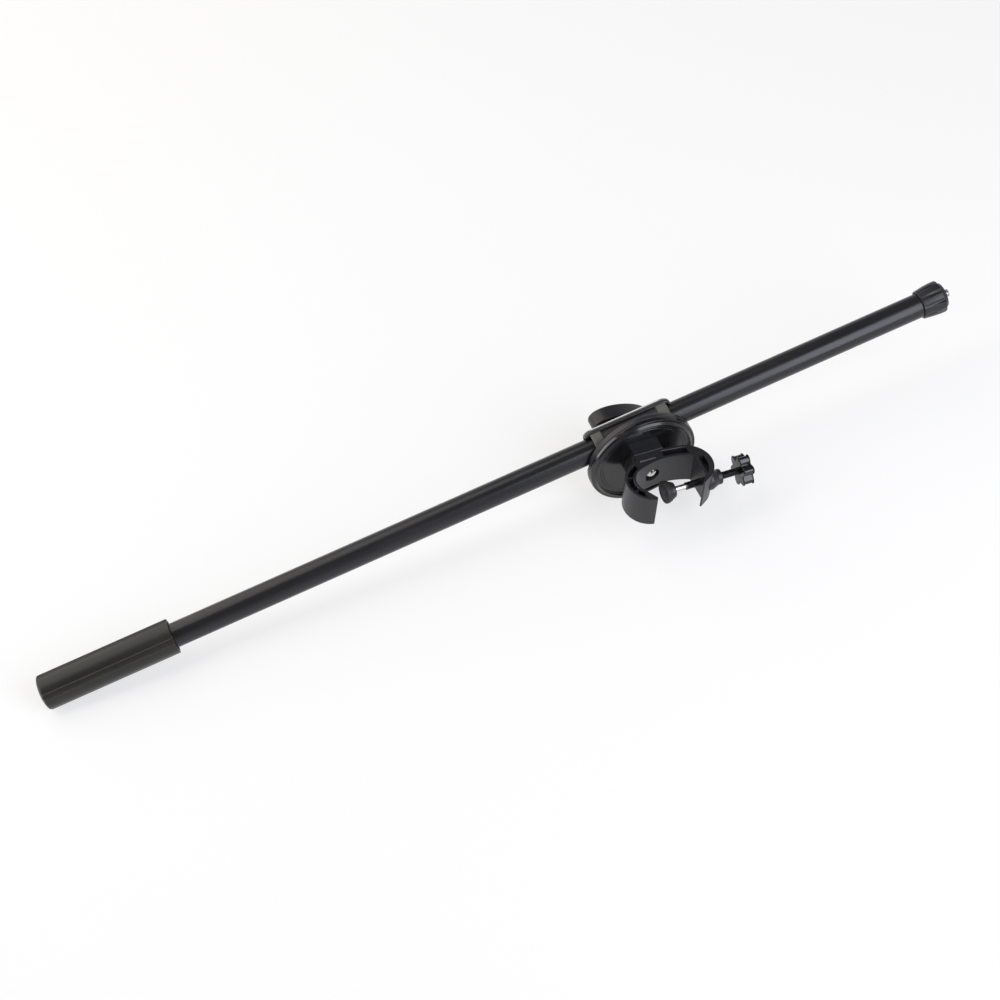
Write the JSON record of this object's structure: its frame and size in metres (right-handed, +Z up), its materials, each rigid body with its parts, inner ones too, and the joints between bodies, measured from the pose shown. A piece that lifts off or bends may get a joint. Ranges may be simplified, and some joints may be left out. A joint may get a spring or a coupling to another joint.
{
  "type": "stand_crossbar_arm",
  "caption": "Black crossbar arm with a sliding tube in a disc clutch, a moulded screw clamp, a ribbed thumb collar with a short stud and a moulded hand grip",
  "frame": {"origin": "centre of the bounding box's underside", "axes": "+X along the tube towards the stud, +Z up, -Y towards the clamp's jaw"},
  "size_m": [0.7458, 0.097, 0.0939],
  "materials": {
    "tube": "satin",
    "moulding": "satin",
    "grip": "matte",
    "liner": "satin",
    "knob": "glossy",
    "black_steel": "satin",
    "bright_steel": "satin",
    "brass": "satin",
    "rubber": "matte"
  },
  "bodies": {
    "base": {"c_clamp_body": "moulding", "front_disc": "moulding", "bolt_plate": "bright_steel", "main_bolt": "bright_steel", "jaw_insert": "brass"},
    "head": {"saddle": "moulding", "rear_shoe": "moulding", "friction_ring": "rubber"},
    "liner": {"tube_liner": "liner"},
    "boom": {"boom_tube": "tube", "handle_grip": "grip", "tube_plug": "moulding", "end_bush": "moulding"},
    "collar": {"thumb_collar": "moulding", "stud_bolt": "bright_steel", "stud_washer": "bright_steel", "stud_locknut": "black_steel"},
    "lock_slider": {"lock_washer": "bright_steel"},
    "knob": {"lock_knob": "moulding", "knob_insert": "brass"},
    "pad": {"rubber_pad": "rubber", "pad_hub": "moulding"},
    "screw": {"clamp_screw": "black_steel", "screw_knob": "knob", "pad_clip": "bright_steel"}
  },
  "joints": [
    {"name": "clutch_swivel", "type": "hinge", "parent": "base", "child": "head", "pos_m": [0.10767, 0.03098, 0.0432], "axis": [0, 1, 0], "continuous": true},
    {"name": "tube_roll", "type": "hinge", "parent": "head", "child": "liner", "pos_m": [0.10637, 0.01898, 0.05714], "axis": [0.9957, 0, 0.0929], "continuous": true},
    {"name": "tube_slide", "type": "slide", "parent": "liner", "child": "boom", "axis": [0.9957, 0, 0.0929], "range_m": [-0.198, 0.33]},
    {"name": "collar_turn", "type": "hinge", "parent": "boom", "child": "collar", "pos_m": [0.35529, 0.01898, 0.08037], "axis": [0.9957, 0, 0.0929], "continuous": true},
    {"name": "lock_back_off", "type": "slide", "parent": "base", "child": "lock_slider", "axis": [0, 1, 0], "range_m": [0, 0.002]},
    {"name": "lock_knob_turn", "type": "hinge", "parent": "lock_slider", "child": "knob", "pos_m": [0.10767, 0.04398, 0.0432], "axis": [0, 1, 0], "range_deg": [0, 722]},
    {"name": "pad_travel", "type": "slide", "parent": "base", "child": "pad", "axis": [-0.9901, 0, 0.1402], "range_m": [-0.021, 0.0138]},
    {"name": "jaw_screw_turn", "type": "hinge", "parent": "pad", "child": "screw", "pos_m": [0.13737, -0.03302, 0.03899], "axis": [-0.9901, 0, 0.1402], "range_deg": [-7570, 4980]}
  ],
  "couplings": [
    {"joint": "lock_knob_turn", "follows": "lock_back_off", "rad_per_m": 6283.2},
    {"joint": "jaw_screw_turn", "follows": "pad_travel", "rad_per_m": 6283.2}
  ]
}
